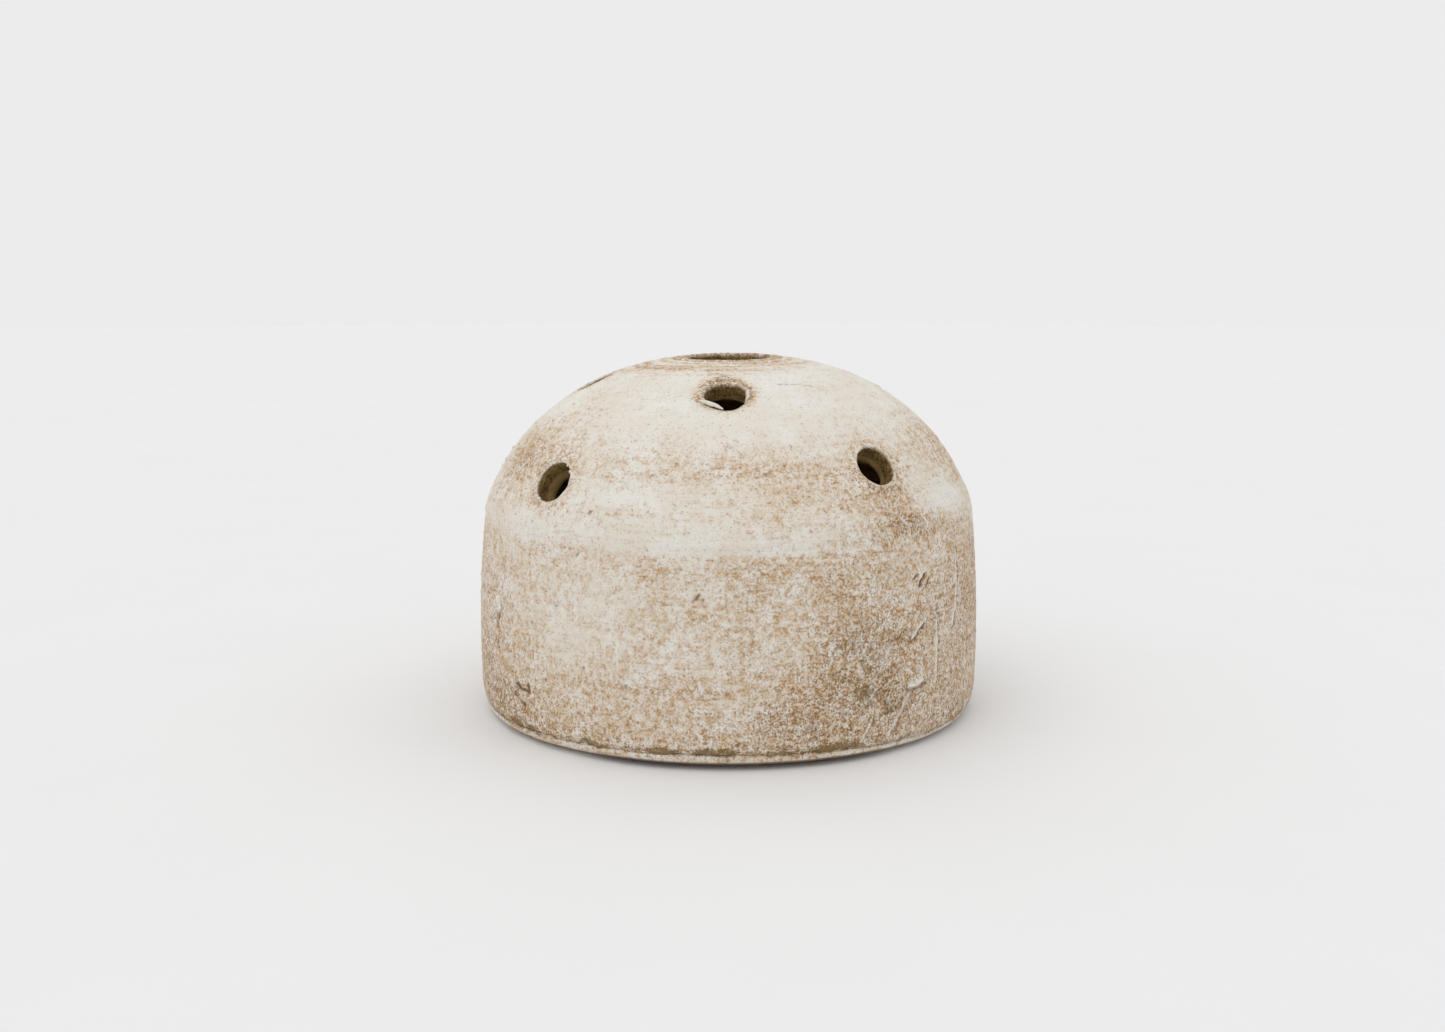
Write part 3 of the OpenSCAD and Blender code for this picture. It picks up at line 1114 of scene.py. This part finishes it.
def clay_material(name):
    """Rubbed cream slip over brown clay, with flecks, turned streaks, stains and bare clay."""
    s = Shader(name)
    place = s.place()
    wash = s.painted("wash")

    fine = s.noise(place, 0.6, roughness=0.8)
    tone = s.noise(place, 1.5, roughness=0.6)
    grain = s.line(tone, 0.20, s.line(fine, 1.0, -0.10))
    sand = s.noise(place, 0.5, detail=1, roughness=0.6)
    clumps = s.noise(place, 2.4, detail=4, roughness=0.65)
    clouds = s.noise(place, 11.0)
    blush = s.noise(place, 6.0, detail=2)
    streaks = s.noise(s.scaled(place, (0.05, 0.05, 1.0)), 0.8, detail=4, roughness=0.6)

    # The more wash, the lower the grain has to be for the brown to show
    density = s.line(s.centred(clumps), 0.7, wash)
    density = s.line(s.centred(streaks), 0.7, density)
    reach = s.line(density, -0.17, 0.612)
    fleck = s.ramp(grain, reach, s.math("ADD", reach, 0.11))
    # The tan veil follows the wash, so on the wall it is partly painted shade, darker than the dome
    veil_and_shade = s.ramp(density, 0.0, 1.1)
    heavy = s.ramp(density, 0.4, 1.15)
    crisp = s.line(s.painted("rubbed"), -0.42, 1.0)
    fleck_share = s.times(s.times(fleck, crisp), s.line(heavy, 0.4, 0.56))

    # Sand and short curls of slip, where the surface is rough
    rough = s.ramp(density, 0.05, 0.9)
    white_grain = s.times(s.ramp(sand, 0.46, 0.26), rough)
    dark_grain = s.times(s.ramp(sand, 0.54, 0.74), rough)
    curl = s.noise(place, 1.5, detail=2, distortion=1.2)
    curl_line = s.ramp(s.math("ABSOLUTE", s.centred(curl)), 0.022, 0.008)
    curl_share = s.times(curl_line, s.ramp(density, 0.7, 1.1))

    # Small brown specks, and a few larger spots
    speck = s.ramp(s.noise(place, 0.8, roughness=0.7), 0.64, 0.69)
    spot_distance, spot_chance = s.cells(place, 2.8)
    ragged_distance = s.line(s.centred(fine), 1.3, spot_distance)
    chosen = s.ramp(s.line(wash, 0.2, spot_chance), 0.98, 1.06)
    spot = s.times(s.ramp(ragged_distance, 0.16, 0.06), chosen)

    colour = s.mix(s.ramp(clouds, 0.35, 0.65), CREAM, WARM_CREAM)
    warm = s.line(s.ramp(tone, 0.40, 0.64), 0.8, 0.1)
    warm = s.line(s.ramp(blush, 0.36, 0.64), 0.4, warm)
    colour = s.mix(s.times(veil_and_shade, warm), colour, VEIL_AND_SHADE)
    colour = s.mix(fleck_share, colour, s.mix(heavy, LIGHT_FLECK, DARK_FLECK))
    layers = [
        (white_grain, 0.55, WHITE_SLIP),
        (dark_grain, 0.5, GRIT),
        (curl_share, 0.6, WHITE_SLIP),
        (speck, s.line(veil_and_shade, 0.45, 0.2), SPOT_BROWN),
        (spot, 0.8, SPOT_BROWN),
        (s.ramp(s.line(grain, 2.6, s.painted("stain")), 1.5, 2.2), 0.85, OLIVE),
        (s.painted("pale"), 0.85, WHITE_SLIP),
        # Gouge cores, with painted shadow beside scratches and along the foot's contact with the floor
        (s.painted("dark"), 0.9, GOUGE_AND_SHADOW_BROWN),
    ]
    for share, strength, layer_colour in layers:
        colour = s.mix(s.times(share, strength), colour, layer_colour)
    bare_colour = s.mix(s.ramp(s.math("ADD", clumps, grain), 0.8, 1.2), BARE_CLAY, BARE_DARK)
    # Inside the chamber the bare clay is painted lighter, as painted light bounced round inside
    bare_colour = s.mix(s.painted("inside"), bare_colour, CHAMBER_CLAY_WITH_PAINTED_LIGHT)

    height = s.line(grain, -1.2, s.times(streaks, 0.6))
    height = s.line(spot, -0.4, height)
    s.fill(s.surface, {
        "Base Color": s.mix(s.painted("bare"), colour, bare_colour),
        "Roughness": s.line(grain, 0.18, 0.76),
        "Specular IOR Level": 0.25,
        "Normal": s.bump(height, 0.30),
    })
    return s.material


def floor_material():
    s = Shader("studio_floor")
    shade = s.ramp(s.noise(s.place(), 60.0), 0.3, 0.7)
    s.fill(s.surface, {
        "Base Color": s.mix(shade, FLOOR_GREY, FLOOR_LIGHT_GREY),
        "Roughness": 0.9,
        "Specular IOR Level": 0.2,
    })
    return s.material


# === Camera, light and floor ===

CAMERA_PLACE = (0.0, -0.3844, 0.1092)
CAMERA_TARGET = (0.0, 0.0, 0.0365)
CAMERA_LENS = 37.64
CAMERA_SHIFT = (-0.00415, 0.0294)
FLOOR_R = 3000
FLOOR_SIDES = 96


def aim(thing, place, target):
    """Puts a camera or lamp at a place, looking at a target."""
    thing.location = place
    run = Vector(target) - Vector(place)
    thing.rotation_euler = run.to_track_quat("-Z", "Y").to_euler()


def make_camera():
    data = bpy.data.cameras.new("camera")
    data.lens = CAMERA_LENS
    data.sensor_width = 36.0
    data.shift_x, data.shift_y = CAMERA_SHIFT
    data.clip_start = 0.01
    camera = link("camera", data)
    aim(camera, CAMERA_PLACE, CAMERA_TARGET)
    bpy.context.scene.camera = camera


def soft_light(name, place, spread_deg, strength):
    """Very soft light, as from a large softbox far away."""
    data = bpy.data.lights.new(name, "SUN")
    data.angle = math.radians(spread_deg)
    data.energy = strength
    aim(link(name, data), place, (0, 0, 0))


def make_studio():
    scene = bpy.context.scene
    scene.view_settings.view_transform = "Standard"
    world = bpy.data.worlds.new("studio")
    world.use_nodes = True
    background = world.node_tree.nodes["Background"]
    background.inputs["Color"].default_value = SKY_GREY
    background.inputs["Strength"].default_value = 1.0
    scene.world = world
    soft_light("key_softbox", (-0.45, -0.55, 0.9), 60, 0.45)
    soft_light("top_softbox", (0.05, 0.1, 1.0), 90, 0.35)
    turn = np.linspace(0, 2 * math.pi, FLOOR_SIDES, endpoint=False)
    rim = np.stack([np.sin(turn), np.cos(turn), np.zeros_like(turn)], axis=1) * FLOOR_R
    floor = make_object("studio_floor", rim, [list(range(FLOOR_SIDES - 1, -1, -1))])
    floor.data.materials.append(floor_material())


# === The whole pot ===


CLAY = clay_material("slip_washed_clay")


def add_detail(piece):
    """Lets a clay piece ride on the pot's one body."""
    piece.data.materials.append(CLAY)
    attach(piece, "root")


def add_piece(piece, node):
    """Lets a clay piece stand for its CAD node as well."""
    add_detail(piece)
    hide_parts(node)


make_camera()
make_studio()
add_piece(build_dome(), "dome")
add_piece(build_wall(), "wall_ring")
add_piece(build_slab(), "floor_slab")
add_piece(build_floor_slip(), "floor_joint_slip")
add_piece(build_shoulder_slip(), "shoulder_joint_slip")
add_piece(build_coil(), "corner_coil")
add_detail(build_burr())
add_detail(build_crumbs())
